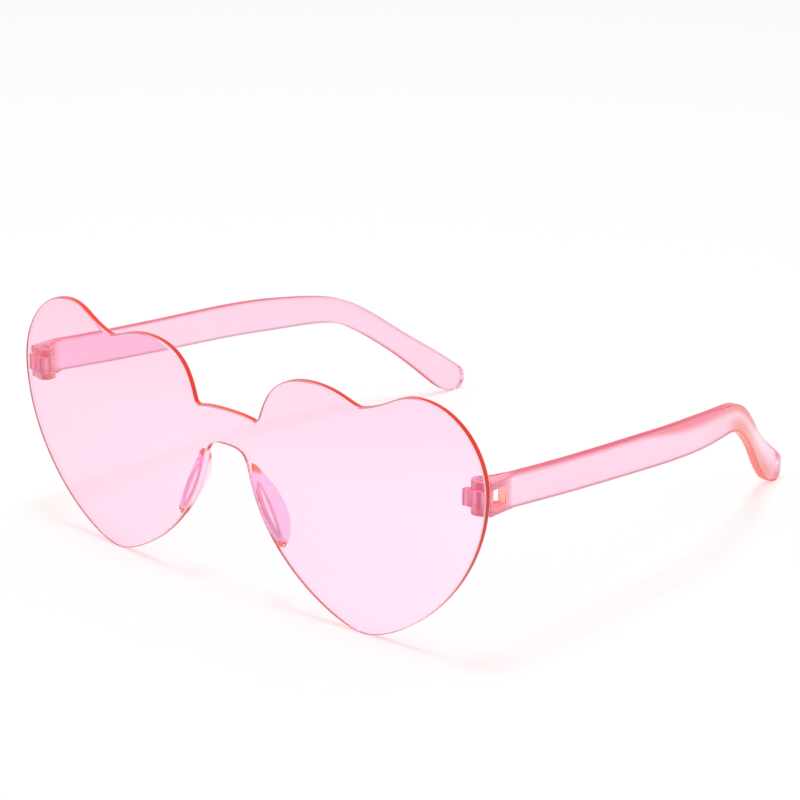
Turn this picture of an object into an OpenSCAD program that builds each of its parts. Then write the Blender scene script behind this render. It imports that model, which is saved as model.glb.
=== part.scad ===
// Heart shaped sunglasses: a rimless one piece shield on two folding temples.
// X runs across the face, Y from the lens back to the temple tips, Z up.
// The origin is on the ground, midway between the lens and the temple tips.

/* [Lens shield] */
// Width across both hearts
lens_w = 145; // [134:1:156]
// Height of the hearts, from tip to outer lobe
lens_h = 58.8; // [54:0.2:64]
// Thickness of the sheet
lens_t = 1.8; // [1.4:0.1:2.4]
// Radius of the front face
lens_curve_r = 540; // [380:10:800]
// Distance between the two upper corners of the bridge
bridge_w = 19.4; // [16:0.1:22]
// Height of the bridge at its middle
bridge_h = 8.4; // [7:0.1:10]
// Drop of the bridge's upper edge from its middle to its corners
bridge_drop = 1; // [0.6:0.1:1.6]
// Length cut off each side of a bridge corner to round it
bridge_corner = 1.2; // [0.8:0.1:1.6]

/* [Nose arch and pads] */
// Height of the nose arch over the heart tips
nose_arch_h = 36.1; // [34:0.1:38]
// Width of the nose arch where it meets the flanks
nose_arch_w = 14.4; // [12.4:0.1:16]
// Depth of the arch's curved top
nose_arch_rise = 5.7; // [5:0.1:7]
// Height of a nose pad
pad_h = 18.5; // [15:0.5:20]
// Gap from the arch's top down to a pad's upper end
pad_drop = 2.8; // [2.2:0.1:5]
// Width of a pad where it sits on the lens
pad_w = 4.2; // [3:0.1:5]
// Depth of a pad behind the lens
pad_depth = 4.9; // [3:0.1:5.5]
// Thickness of a pad's rim
pad_rim_t = 1; // [0.7:0.1:1.4]
// Outward lean of a pad's rim
pad_lean = 2.3; // [0.8:0.1:2.8]

/* [Hinges] */
// Height of the hinge's middle over the ground
hinge_z = 38.8; // [36:0.1:42]
// Distance from the screw's axis to the outer edge of the lens
hinge_inset = 3.9; // [3.4:0.1:4.6]
// Radius of the ears around the screw
ear_r = 2.3; // [2:0.05:2.5]
// Height of one ear
ear_h = 1.8; // [1.5:0.1:2.4]
// Height of the slot between the ears
fork_slot_h = 4.2; // [3.6:0.1:4.6]
// Depth of the fork's slot behind the screw's axis
fork_slot_depth = 3.7; // [3.4:0.1:4.4]
// Reach of the end piece's foot from the screw's axis towards the nose
foot_reach = 2.9; // [2.6:0.1:3.6]
// Thickness of the foot
foot_t = 1.5; // [1.2:0.1:1.8]
// Radius of the centre knuckle
knuckle_r = 2.2; // [1.9:0.05:2.3]
// Diameter of the screw's shank
screw_d = 1.5; // [1.3:0.05:1.7]
// Diameter of the screw's head
screw_head_d = 2.3; // [2:0.05:2.6]
// Height of the screw's head
screw_head_h = 0.7; // [0.5:0.05:0.9]
// Width of the slot in the screw's head
screw_slot_w = 0.35; // [0.25:0.05:0.5]
// Depth of the slot in the screw's head
screw_slot_depth = 0.3; // [0.2:0.05:0.4]

/* [Temples] */
// Length from the hinge screw to the tip, along Y
temple_run = 137.2; // [130:0.2:146]
// Thickness of the arm
temple_t = 2.4; // [2:0.1:2.8]
// Height of the arm behind the hinge
temple_h = 7.8; // [7:0.1:8.4]
// Height of the arm at its middle
temple_mid_h = 8.6; // [7.6:0.1:9.2]
// Height of the arm in its drop, its narrowest place
temple_neck_h = 5.9; // [5.4:0.1:7]
// Height of the arm's paddle, at the foot of the drop
temple_paddle_h = 8.5; // [7:0.1:9]
// Distance that the tip turns in from the arm's straight part
tip_inset = 18.5; // [12:0.1:22]
// Length over which the tip rounds off above
tip_round = 3.6; // [3:0.1:5]
// Length over which the tip rounds off below
tip_round_low = 7; // [4:0.1:9]

/* [Fits] */
// Radial clearance of the screw in the knuckle
screw_fit = 0.05; // [0.02:0.01:0.08]
// Clearance between an ear and the knuckle
ear_gap = 0.12; // [0.08:0.01:0.2]
// Clearance of moving pieces from the lens
swing_gap = 0.45; // [0.35:0.05:0.6]
// Thickness of the glue under pads and feet
glue_t = 0.05; // [0.03:0.01:0.1]

/* [Hidden] */

// Steps along one curve of an outline, and around a round face
curve_steps = 12;
round_fn = 64;
sphere_fn = 360;
// Halvings in a search along a curve
halvings = 24;
// Overrun of every cut
over = 2;

// The colours of the four finishes
lens_colour = [1.00, 0.82, 0.93];
pad_colour = [1.00, 0.66, 0.80];
temple_colour = [1.00, 0.78, 0.88];
screw_colour = [0.78, 0.78, 0.80];

// Centre of the lens curve, as a share of the lens's height
curve_z_share = 0.56;
curve_z = lens_h * curve_z_share;
back_r = lens_curve_r - lens_t;
half_w = lens_w / 2;

// Distance of a sphere's face behind the lens's foremost point
function face_y(r, x, z) = lens_curve_r - sqrt(r * r - x * x - pow(z - curve_z, 2));
function back_y(x, z) = face_y(back_r, x, z);

// Curves through knots. A knot is [point, direction in, handle in, direction out, handle out].
function heading(a) = [cos(a), sin(a)];
function leg(a, b) = [a[0], a[0] + a[4] * heading(a[3]), b[0] - b[2] * heading(b[1]), b[0]];
function on_leg(p, t) =
    pow(1 - t, 3) * p[0] + 3 * pow(1 - t, 2) * t * p[1] + 3 * (1 - t) * t * t * p[2] + pow(t, 3) * p[3];
function leg_slope(p, t) =
    3 * pow(1 - t, 2) * (p[1] - p[0]) + 6 * (1 - t) * t * (p[2] - p[1]) + 3 * t * t * (p[3] - p[2]);
function curve(knots) = [
    for (i = [0 : len(knots) - 2])
        for (s = [0 : curve_steps - 1])
            on_leg(leg(knots[i], knots[i + 1]), s / curve_steps),
    knots[len(knots) - 1][0],
];
function flip(points) = [for (i = [len(points) - 1 : -1 : 0]) [-points[i][0], points[i][1]]];

// Knots of a heart as shares of the half width and of the height
inner_lobe_shares = [0.353, 0.962];
cleft_shares = [0.548, 0.915];
outer_lobe_share = 0.753;
side_share = 0.6825;
tip_share = 0.541;
// Directions of the outline at the cleft and where it leaves the bridge and the nose
cleft_turn = 14;
bridge_turn = 14;
lobe_turn = 70;
flank_turn = 104;
// Handles of the outline, as shares of the half width and of the height
lobe_rise_share = 0.072;
inner_lobe_handle_shares = [0.168, 0.113];
cleft_handle_shares = [0.036, 0.112];
outer_lobe_handle_shares = [0.081, 0.149];
side_handle_shares = [0.153, 0.393];
tip_handle_shares = [0.149, 0.088];
flank_handle_share = 0.355;
// Handles of the bridge and of the arch, as shares of their half widths
bridge_handle_shares = [0.41, 0.2];
// Handle of the bridge's rounded corner, as a share of the length cut off
corner_handle_share = 0.6;
arch_handle_share = 0.72;
arch_side_share = 0.84;

bridge_top_z = nose_arch_h + bridge_h;
arch_foot_z = nose_arch_h - nose_arch_rise;

// The bridge's corner, rounded by a small curve between two knots
corner_at = [bridge_w / 2, bridge_top_z - bridge_drop];
corner_handle = bridge_corner * corner_handle_share;

// The right half of the shield's outline, from the bridge's top round to the nose arch
shield_knots = [
    [[0, bridge_top_z], 0, 0, 0, bridge_w / 2 * bridge_handle_shares[0]],
    [corner_at - bridge_corner * heading(-bridge_turn), -bridge_turn, bridge_w / 2 * bridge_handle_shares[1],
        -bridge_turn, corner_handle],
    [corner_at + bridge_corner * heading(lobe_turn), lobe_turn, corner_handle,
        lobe_turn, lens_h * lobe_rise_share],
    [[half_w * inner_lobe_shares[0], lens_h * inner_lobe_shares[1]], 0, half_w * inner_lobe_handle_shares[0],
        0, half_w * inner_lobe_handle_shares[1]],
    [[half_w * cleft_shares[0], lens_h * cleft_shares[1]], cleft_turn, half_w * cleft_handle_shares[0],
        cleft_turn, half_w * cleft_handle_shares[1]],
    [[half_w * outer_lobe_share, lens_h], 0, half_w * outer_lobe_handle_shares[0],
        0, half_w * outer_lobe_handle_shares[1]],
    [[half_w, lens_h * side_share], -90, lens_h * side_handle_shares[0],
        -90, lens_h * side_handle_shares[1]],
    [[half_w * tip_share, 0], 180, half_w * tip_handle_shares[0], 180, half_w * tip_handle_shares[1]],
    [[nose_arch_w / 2, arch_foot_z], flank_turn, lens_h * flank_handle_share,
        flank_turn, nose_arch_rise * arch_side_share],
    [[0, nose_arch_h], 180, nose_arch_w / 2 * arch_handle_share, 180, 0],
];
half_outline = curve(shield_knots);
// The nose's edge of the right heart, from its tip up to the arch
flank_leg = leg(shield_knots[7], shield_knots[8]);

// The hinge, on the wearer's left
axis_x = half_w - hinge_inset;
lens_back_y = back_y(axis_x, hinge_z);
axis_y = lens_back_y + ear_r + swing_gap;
fork_h = 2 * ear_h + fork_slot_h;
knuckle_h = fork_slot_h - 2 * ear_gap;
temple_outer_x = half_w - swing_gap;
fork_front_y = back_y(half_w, hinge_z) + swing_gap;
slot_end_y = axis_y + fork_slot_depth;
// Place on the ear's round side where its inner cheek starts, which ends at the slot's end
cheek_turn = 150;
fork_back_y = slot_end_y + ear_r;
tip_y = axis_y + temple_run;

// The temple's centre line in the side view, as shares of its run and of the hinge's height
temple_bend_shares = [0.575, 0.823];
temple_drop_shares = [0.802, 0.588];
temple_end_share = 0.027;
temple_front_turn = -6.7;
temple_bend_turn = -6.1;
temple_drop_turn = -36.6;
temple_end_turn = -32.9;
temple_handle_shares = [0.229, 0.162, 0.136, 0.095, 0.077, 0.034];
// Where the arm reaches its middle height, its neck's and its paddle's, as shares of its run
mid_share = 0.53;
neck_share = 0.84;
paddle_share = 0.988;
// The turn in of the arm's outer face: where it starts, and its steepest place
turn_in_share = 0.42;
turn_steep_share = 0.863;
turn_steep_inset_share = 0.7;
turn_steep_turn = 113.7;
tip_turn = 109;
turn_handle_shares = [0.19, 0.107, 0.11, 0.063];

side_knots = [
    [[fork_back_y, hinge_z], temple_front_turn, 0, temple_front_turn, temple_run * temple_handle_shares[0]],
    [[axis_y + temple_run * temple_bend_shares[0], hinge_z * temple_bend_shares[1]],
        temple_bend_turn, temple_run * temple_handle_shares[1],
        temple_bend_turn, temple_run * temple_handle_shares[2]],
    [[axis_y + temple_run * temple_drop_shares[0], hinge_z * temple_drop_shares[1]],
        temple_drop_turn, temple_run * temple_handle_shares[3],
        temple_drop_turn, temple_run * temple_handle_shares[4]],
    [[tip_y, hinge_z * temple_end_share], temple_end_turn, temple_run * temple_handle_shares[5],
        temple_end_turn, 0],
];

function ease(t) = let (c = min(max(t, 0), 1)) c * c * (3 - 2 * c);
function run_share(y) = (y - axis_y) / temple_run;
// Height of the arm at a place along its run: widening, narrowing to the neck, then widening to the paddle
function blend(a, b, t) = a + (b - a) * ease(t);
function arm_h(y) =
    let (s = run_share(y))
    s < mid_share ? blend(temple_h, temple_mid_h, s / mid_share)
    : s < neck_share ? blend(temple_mid_h, temple_neck_h, (s - mid_share) / (neck_share - mid_share))
    : blend(temple_neck_h, temple_paddle_h, (s - neck_share) / (paddle_share - neck_share));
// The tip's end is round: each half of the height closes like a quarter ellipse over its own reach
function round_off(y, reach) = let (d = max(0, y - tip_y + reach) / reach) sqrt(max(0, 1 - d * d));
end_reach = max(tip_round, tip_round_low);

// Places along the temple's centre line, closer together towards the round end
temple_marks = [
    for (i = [0 : len(side_knots) - 2])
        for (s = [0 : curve_steps - 1])
            let (p = leg(side_knots[i], side_knots[i + 1]), t = s / curve_steps) [on_leg(p, t), leg_slope(p, t)],
];
end_leg = leg(side_knots[2], side_knots[3]);
end_marks = [
    for (a = [0 : 90 / curve_steps : 90])
        let (y = tip_y - end_reach * (1 - sin(a)), t = leg_time(y, 0, 1, 0)) [on_leg(end_leg, t), leg_slope(end_leg, t)],
];
// Time on the last leg at which it reaches a given Y, by halving
function leg_time(y, lo, hi, depth) =
    let (mid = (lo + hi) / 2)
    depth > halvings ? mid
    : on_leg(end_leg, mid)[0] < y ? leg_time(y, mid, hi, depth + 1) : leg_time(y, lo, mid, depth + 1);

all_marks = concat([for (m = temple_marks) if (m[0][0] < tip_y - end_reach) m], end_marks);
function edge(m, side) =
    let (
        n = [-m[1][1], m[1][0]] / norm(m[1]),
        reach = side > 0 ? tip_round : tip_round_low
    )
    m[0] + side * n * arm_h(m[0][0]) * round_off(m[0][0], reach) / 2;
arm_top = [for (m = all_marks) edge(m, 1)];
arm_bottom = [for (i = [len(all_marks) - 1 : -1 : 0]) edge(all_marks[i], -1)];
arm_low = min([for (p = arm_bottom) p[1]]);
// The arm's drop is stretched a little so that its lowest point is on the ground
function grounded(p) = [p[0], hinge_z - (hinge_z - p[1]) * hinge_z / (hinge_z - arm_low)];

side_outline = concat(
    [[lens_back_y, hinge_z - fork_h / 2], [lens_back_y, hinge_z + fork_h / 2],
        [slot_end_y, hinge_z + fork_h / 2]],
    [for (p = arm_top) grounded(p)],
    [for (p = arm_bottom) grounded(p)],
    [[slot_end_y, hinge_z - fork_h / 2]]
);
overall_depth = max([for (p = side_outline) p[0]]);

// The arm's outer face in the plan view
plan_knots = [
    [[temple_outer_x, axis_y + temple_run * turn_in_share], 90, 0, 90, temple_run * turn_handle_shares[0]],
    [[temple_outer_x - tip_inset * turn_steep_inset_share, axis_y + temple_run * turn_steep_share],
        turn_steep_turn, temple_run * turn_handle_shares[1],
        turn_steep_turn, temple_run * turn_handle_shares[2]],
    [[temple_outer_x - tip_inset, tip_y + over], tip_turn, temple_run * turn_handle_shares[3], tip_turn, 0],
];
plan_marks = concat(
    [
        for (i = [0 : len(plan_knots) - 2])
            for (s = [0 : curve_steps - 1])
                let (p = leg(plan_knots[i], plan_knots[i + 1]), t = s / curve_steps) [on_leg(p, t), leg_slope(p, t)],
    ],
    [let (p = leg(plan_knots[1], plan_knots[2])) [on_leg(p, 1), leg_slope(p, 1)]]
);
arm_outer = [for (m = plan_marks) m[0]];
arm_inner = [
    for (i = [len(plan_marks) - 1 : -1 : 0])
        let (d = plan_marks[i][1], n = [-d[1], d[0]] / norm(d))
        plan_marks[i][0] + n * temple_t,
];

// Stands a part behind the lens on the model's own origin
module placed() {
    translate([0, -overall_depth / 2, 0]) children();
}

// Makes the wearer's right piece from the left one
module right_side() {
    mirror([1, 0, 0]) children();
}

module curve_sphere(r) {
    translate([0, lens_curve_r, curve_z]) sphere(r = r, $fn = sphere_fn);
}

module lens_shield() {
    color(lens_colour)
    placed()
    difference() {
        intersection() {
            rotate([90, 0, 0])
                translate([0, 0, -lens_t - face_y(back_r, half_w, 0)])
                    linear_extrude(height = lens_t + face_y(back_r, half_w, 0) + over)
                        polygon(concat(half_outline, flip(half_outline)));
            curve_sphere(lens_curve_r);
        }
        curve_sphere(back_r);
    }
}

// A pad follows the nose's edge. Its section is a wedge: wide on the lens, with a narrow rim.
pad_rings = 16;
pad_sides = 12;
pad_top_z = nose_arch_h - pad_drop;
function flank_time(z, lo, hi, depth) =
    let (mid = (lo + hi) / 2)
    depth > halvings ? mid
    : on_leg(flank_leg, mid)[1] < z ? flank_time(z, mid, hi, depth + 1) : flank_time(z, lo, mid, depth + 1);
function flank_x(z) = z > arch_foot_z ? nose_arch_w / 2 : on_leg(flank_leg, flank_time(z, 0, 1, 0))[0];
// Size of the pad's section along its height: it swells below its middle and is small at its ends
pad_end_share = 0.12;
pad_swell_power = 0.8;
function pad_swell(u) = max(pad_end_share, sin(180 * pow(u, pad_swell_power)));
function pad_ring(u) =
    let (
        z = pad_top_z - pad_h * (1 - u),
        swell = pad_swell(u),
        nose_x = flank_x(z),
        base_w = pad_w * sqrt(swell),
        half_rim = min(base_w, pad_rim_t) / 2,
        rim_x = nose_x + half_rim + pad_lean * swell
    )
    [
        for (i = [0 : pad_sides - 1])
            let (
                rise = sin(180 * i / (pad_sides - 1)),
                outer = i < pad_sides / 2,
                base_x = outer ? nose_x + base_w : nose_x,
                end_x = outer ? rim_x + half_rim : rim_x - half_rim,
                x = base_x + (end_x - base_x) * rise
            )
            [x, back_y(x, z) + glue_t + pad_depth * swell * rise, z],
    ];
pad_points = [for (r = [0 : pad_rings]) each pad_ring(r / pad_rings)];
pad_faces = concat(
    [
        for (r = [0 : pad_rings - 1])
            for (i = [0 : pad_sides - 1])
                let (j = (i + 1) % pad_sides, a = r * pad_sides)
                each [[a + i, a + j, a + pad_sides + i], [a + j, a + pad_sides + j, a + pad_sides + i]],
    ],
    [[for (i = [pad_sides - 1 : -1 : 0]) i]],
    [[for (i = [0 : pad_sides - 1]) pad_rings * pad_sides + i]]
);

module nose_pad() {
    color(pad_colour)
    placed()
    polyhedron(points = pad_points, faces = pad_faces);
}

// The foot's front follows the lens's back, with the glue between them
foot_xs = [axis_x - foot_reach, axis_x, temple_outer_x];
foot_front = [for (x = foot_xs) [x, back_y(x, hinge_z) + glue_t]];
foot_back = [for (i = [len(foot_xs) - 1 : -1 : 0]) [foot_xs[i], back_y(foot_xs[i], hinge_z) + foot_t]];

module end_piece() {
    color(pad_colour)
    placed()
    difference() {
        translate([0, 0, hinge_z - knuckle_h / 2])
            linear_extrude(height = knuckle_h)
                union() {
                    polygon(concat(foot_front, foot_back));
                    translate([axis_x - knuckle_r, lens_back_y + foot_t / 2])
                        square([2 * knuckle_r, axis_y - lens_back_y - foot_t / 2]);
                    translate([axis_x, axis_y])
                        circle(r = knuckle_r, $fn = round_fn);
                }
        translate([axis_x, axis_y, hinge_z - fork_h / 2])
            cylinder(d = screw_d + 2 * screw_fit, h = fork_h, $fn = round_fn);
    }
}

module temple() {
    color(temple_colour)
    placed()
    difference() {
        intersection() {
            rotate([90, 0, 90])
                linear_extrude(height = lens_w)
                    polygon(side_outline);
            linear_extrude(height = lens_h)
                union() {
                    polygon(concat(
                        [[temple_outer_x - temple_t, slot_end_y], [temple_outer_x, slot_end_y]],
                        arm_outer,
                        arm_inner
                    ));
                    translate([axis_x, axis_y])
                        circle(r = ear_r, $fn = round_fn);
                    polygon([
                        [axis_x, axis_y - ear_r],
                        [temple_outer_x, fork_front_y],
                        [temple_outer_x, fork_back_y],
                        [temple_outer_x - temple_t, fork_back_y],
                        [temple_outer_x - temple_t, slot_end_y],
                        [axis_x, axis_y] + ear_r * heading(cheek_turn),
                        [axis_x, axis_y],
                    ]);
                }
        }
        translate([0, 0, hinge_z - fork_slot_h / 2])
            cube([lens_w, slot_end_y, fork_slot_h]);
        translate([axis_x, axis_y, hinge_z - fork_h / 2 - over])
            cylinder(d = screw_d, h = fork_h + 2 * over, $fn = round_fn);
        translate([axis_x, axis_y, hinge_z + fork_h / 2 - screw_head_h / 2])
            cylinder(d = screw_head_d + 2 * screw_fit, h = screw_head_h + over, $fn = round_fn);
    }
}

module hinge_screw() {
    color(screw_colour)
    placed()
    translate([axis_x, axis_y, hinge_z])
    difference() {
        union() {
            translate([0, 0, -fork_h / 2])
                cylinder(d = screw_d, h = fork_h - screw_head_h / 2, $fn = round_fn);
            translate([0, 0, fork_h / 2 - screw_head_h / 2])
                cylinder(d = screw_head_d, h = screw_head_h, $fn = round_fn);
        }
        translate([-screw_head_d, -screw_slot_w / 2, fork_h / 2 + screw_head_h / 2 - screw_slot_depth])
            cube([2 * screw_head_d, screw_slot_w, screw_slot_depth + over]);
    }
}

lens_shield();
nose_pad();  // nose_pad_left
right_side() nose_pad();  // nose_pad_right
end_piece();  // end_piece_left
right_side() end_piece();  // end_piece_right
temple();  // temple_left
right_side() temple();  // temple_right
hinge_screw();  // hinge_screw_left
right_side() hinge_screw();  // hinge_screw_right
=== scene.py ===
"""Heart shaped sunglasses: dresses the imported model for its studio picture.

A clear tinted shield with glowing edges, two nose pads, two end blocks and two folding arms.
Lengths are worked out in millimetres on the shield's own place and put into meshes in metres.
"""
import math

import bmesh
import bpy
import numpy as np
from bpy.props import FloatProperty, FloatVectorProperty, PointerProperty
from mathutils import Matrix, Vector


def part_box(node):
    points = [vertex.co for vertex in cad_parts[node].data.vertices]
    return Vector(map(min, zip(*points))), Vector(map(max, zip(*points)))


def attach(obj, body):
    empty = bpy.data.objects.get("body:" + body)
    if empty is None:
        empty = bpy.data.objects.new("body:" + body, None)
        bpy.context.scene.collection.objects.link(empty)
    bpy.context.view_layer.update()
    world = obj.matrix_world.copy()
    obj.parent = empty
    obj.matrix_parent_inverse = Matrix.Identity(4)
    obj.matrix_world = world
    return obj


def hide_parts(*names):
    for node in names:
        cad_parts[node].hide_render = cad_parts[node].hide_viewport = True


bl_info = {
    "name": "Heart Shaped Sunglasses",
    "version": (1, 0, 0),
    "blender": (4, 5, 0),
    "location": "View3D > Sidebar > Sunglasses",
    "description": "Dresses the heart shaped sunglasses and lights them",
    "category": "Object",
}

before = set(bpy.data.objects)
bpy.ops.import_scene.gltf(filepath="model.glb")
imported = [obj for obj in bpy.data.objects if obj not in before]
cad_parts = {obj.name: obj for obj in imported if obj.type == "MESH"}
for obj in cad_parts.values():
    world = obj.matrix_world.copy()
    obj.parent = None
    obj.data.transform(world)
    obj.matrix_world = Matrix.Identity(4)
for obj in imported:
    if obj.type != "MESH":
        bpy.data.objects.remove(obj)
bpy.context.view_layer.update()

MM = 0.001
SHIELD_LOW, SHIELD_HIGH = (np.array(c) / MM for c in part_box("lens_shield"))
BLOCK_LOW, BLOCK_HIGH = (np.array(c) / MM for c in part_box("end_piece_left"))
SCREW_LOW, SCREW_HIGH = (np.array(c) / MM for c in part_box("hinge_screw_left"))
SHIELD_H = SHIELD_HIGH[2]
HALF_W = SHIELD_HIGH[0]
# The shield's foremost point, from which its curve is measured
FRONT_Y = SHIELD_LOW[1]
AXIS_X, AXIS_Y = (SCREW_LOW[:2] + SCREW_HIGH[:2]) / 2
HINGE_Z = (BLOCK_LOW[2] + BLOCK_HIGH[2]) / 2
TIP_Y = np.array(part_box("temple_left")[1])[1] / MM


def length(name, about, value):
    """A length that a user can change, in metres."""
    return FloatProperty(
        name=name, description=about, default=value, unit="LENGTH", precision=5, min=0.0
    )


def angle(name, about, degrees):
    """An angle that a user can change, given in degrees."""
    return FloatProperty(
        name=name, description=about, default=math.radians(degrees), unit="ROTATION"
    )


def colour(name, about, value):
    """A colour that a user can change."""
    return FloatVectorProperty(
        name=name, description=about, default=value, subtype="COLOR", size=3, min=0.0, max=1.0
    )


class ShieldSettings(bpy.types.PropertyGroup):
    thickness: length("Thickness", "Thickness of the shield's sheet", 0.0018)
    curve_radius: length("Curve radius", "Radius of the shield's front face", 0.54)
    edge_round: length("Edge rounding", "Radius of the polished edges", 0.00028)
    pale_tint: colour("Pale tint", "Tint of the sheet over the lower hearts", (1.0, 0.81, 0.965))
    deep_tint: colour("Deep tint", "Tint of the sheet in the outer lobes", (0.99, 0.64, 0.78))
    # Painted glow: the cut edge's solid orange-red and its deeper patches stand in for light
    # gathered in the sheet
    painted_edge_glow: colour("Edge glow", "Colour that gathers in the cut edge", (0.88, 0.06, 0.03))
    deep_painted_glow: colour("Deep edge glow", "The cut edge's deeper patches", (0.74, 0.045, 0.03))
    # Beside the pads: a pale solid colour, and an emission that is painted light on a face turned
    # from the lamp
    glued_edge: colour("Glued edge", "Colour of the cut edge beside the pads", (1.0, 0.74, 0.84))
    glued_painted_light: colour("Glued light", "Light given back beside the pads", (0.34, 0.13, 0.22))
    # Painted highlight on the polished edges turned to the light, and painted shade as a dark line
    # on the others
    bevel_painted_highlight: colour("Bevel glow", "Polished edges beside a lit cut edge", (1.0, 0.80, 0.84))
    bevel_painted_shade: colour("Bevel line", "Polished edges on the other sides", (0.62, 0.13, 0.14))
    bevel_tint: colour("Bevel tint", "Tint mixed into the polished edges", (1.0, 0.62, 0.66))
    # Painted glow as seen from inside: the cut edge's line through the sheet
    inner_line: colour("Inner line", "Cut edge seen through the sheet", (0.72, 0.27, 0.26))


class PadSettings(bpy.types.PropertyGroup):
    height: length("Height", "Height of a nose pad", 0.0185)
    depth: length("Depth", "Depth of a pad behind the shield", 0.0049)
    width: length("Width", "Width of a pad on the shield", 0.0042)
    body_tint: colour("Body tint", "Tint of a pad's body", (1.0, 0.66, 0.90))
    body_pale: colour("Pale body tint", "Paler clouds in a pad's body", (1.0, 0.78, 0.93))
    base_tint: colour("Base tint", "Middle of a pad's glued base", (0.86, 0.22, 0.30))
    # Painted highlight: a bright streak in the glued base
    base_painted_highlight: colour("Base shine", "Bright streak in a pad's glued base", (1.0, 0.95, 0.97))
    # Painted glow at a pad's ends, for light gathered in the clear pad
    painted_end_glow: colour("End glow", "Colour that gathers at a pad's ends", (0.98, 0.16, 0.05))


class ArmSettings(bpy.types.PropertyGroup):
    thickness: length("Thickness", "Thickness of an arm", 0.0024)
    edge_round: length("Edge rounding", "Radius of an arm's long edges", 0.0004)
    body_tint: colour("Body tint", "Tint of an arm's broad faces", (1.0, 0.66, 0.82))
    body_pale: colour("Pale body tint", "Paler clouds in an arm's faces", (1.0, 0.8, 0.86))
    # Painted glow: rose on the narrow faces, paler in patches, for light gathered in the arm
    painted_edge_glow: colour("Edge glow", "Gathers in an arm's narrow faces", (0.76, 0.06, 0.12))
    edge_pale: colour("Pale edge glow", "The narrow faces' paler patches", (0.95, 0.24, 0.30))
    round_tint: colour("Round tint", "Tint mixed into the rounded edges", (0.85, 0.30, 0.42))
    # Painted glow under an arm's upper edge
    upper_painted_glow: colour("Upper glow", "Tint under an arm's upper edge", (0.97, 0.20, 0.27))
    # Painted light and painted shade: the ears' colour on the arm in the light and on the one away
    # from it
    lit_ear_painted_tint: colour("Ear tint", "Tint of the ears in the light", (1.0, 0.32, 0.42))
    shaded_ear_painted_tint: colour("Far ear tint", "Tint of the ears away from the light", (1.0, 0.42, 0.34))
    # Painted glow on the slot's end, and an emission of painted light on that shaded face
    slot_painted_glow: colour("Slot glow", "Colour of the hinge slot's end", (1.0, 0.74, 0.58))
    slot_painted_light: colour("Slot light", "Light given back by the slot's end", (0.5, 0.22, 0.10))
    # Painted glow in the ears
    hinge_painted_glow: colour("Hinge glow", "Colour that gathers in the ears", (0.97, 0.33, 0.42))
    # Painted orange glow at the lit arm's bend and drop, and its solid share on the bend's faces
    bend_painted_glow: colour("Bend glow", "Gathers at the bend and in the drop", (0.98, 0.19, 0.145))
    bend_painted_face: colour("Bend face", "Solid share of the bend's faces", (1.0, 0.34, 0.28))


class HingeSettings(bpy.types.PropertyGroup):
    edge_round: length("Edge rounding", "Radius of the hinge's edges", 0.00015)
    block_tint: colour("Block tint", "Tint of the end blocks", (1.0, 0.42, 0.54))
    block_pale: colour("Pale block tint", "Paler clouds in the end blocks", (1.0, 0.55, 0.68))
    # Painted reflection: the screws' pink is that of the plastic round them
    steel: colour("Steel", "Colour of the screws", (1.0, 0.58, 0.65))


class StageSettings(bpy.types.PropertyGroup):
    floor: colour("Floor", "Colour of the floor", (0.92, 0.92, 0.92))
    floor_grain: colour("Floor grain", "The floor's faint darker patches", (0.9, 0.9, 0.9))
    lamp_power: FloatProperty(
        name="Lamp power", description="Power of the lamp overhead", default=12.0, unit="POWER",
        min=0.0,
    )
    azimuth: angle("Azimuth", "Turn of the camera round the object", 41.07)
    elevation: angle("Elevation", "Height of the camera over the horizon", 19.27)
    roll: angle("Roll", "Turn of the picture", 0.06)
    distance: length("Distance", "Distance from the camera to its target", 0.668)
    focal: FloatProperty(
        name="Focal length", description="Focal length on the sensor", default=129.9, unit="CAMERA"
    )


# Curves


def heading(turn):
    """The unit direction at an angle in degrees."""
    return np.array([math.cos(math.radians(turn)), math.sin(math.radians(turn))])


def curve(knots, steps):
    """Cubic curves through knots, as points and unit directions.

    A knot is [point, turn in, handle in, turn out, handle out]. Each leg is the sum
    (1-t)^3 a + 3(1-t)^2 t b + 3(1-t) t^2 c + t^3 d, with b and c on the two handles."""
    t = np.linspace(0, 1, steps + 1)[:, None]
    points, slopes = [], []
    for start, end in zip(knots[:-1], knots[1:]):
        a, d = np.array(start[0], float), np.array(end[0], float)
        b, c = a + start[4] * heading(start[3]), d - end[2] * heading(end[1])
        leg = (1 - t) ** 3 * a + 3 * (1 - t) ** 2 * t * b + 3 * (1 - t) * t**2 * c + t**3 * d
        slope = 3 * (1 - t) ** 2 * (b - a) + 6 * (1 - t) * t * (c - b) + 3 * t**2 * (d - c)
        points.append(leg[:-1])
        slopes.append(slope[:-1])
    points.append(d[None])
    slopes.append((3 * (d - c))[None])
    points, slopes = np.concatenate(points), np.concatenate(slopes)
    return points, slopes / np.linalg.norm(slopes, axis=1, keepdims=True)


def left_of(slopes):
    """Unit normals on the left of unit directions."""
    return np.stack([-slopes[..., 1], slopes[..., 0]], -1)


def closed_normals(loop):
    """Outward unit normals of a closed loop that runs anticlockwise."""
    run = np.roll(loop, -1, 0) - np.roll(loop, 1, 0)
    run /= np.linalg.norm(run, axis=1, keepdims=True)
    return np.stack([run[:, 1], -run[:, 0]], -1)


def arc(centre, radius, start, end, count):
    """Points on a circle: centre + radius (cos turn, sin turn), between two angles in degrees."""
    turn = np.radians(np.linspace(start, end, count))[:, None]
    return np.array(centre) + radius * np.concatenate([np.cos(turn), np.sin(turn)], axis=1)


def ease(t):
    """3t^2 - 2t^3 between 0 and 1."""
    t = np.clip(t, 0, 1)
    return t * t * (3 - 2 * t)


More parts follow.
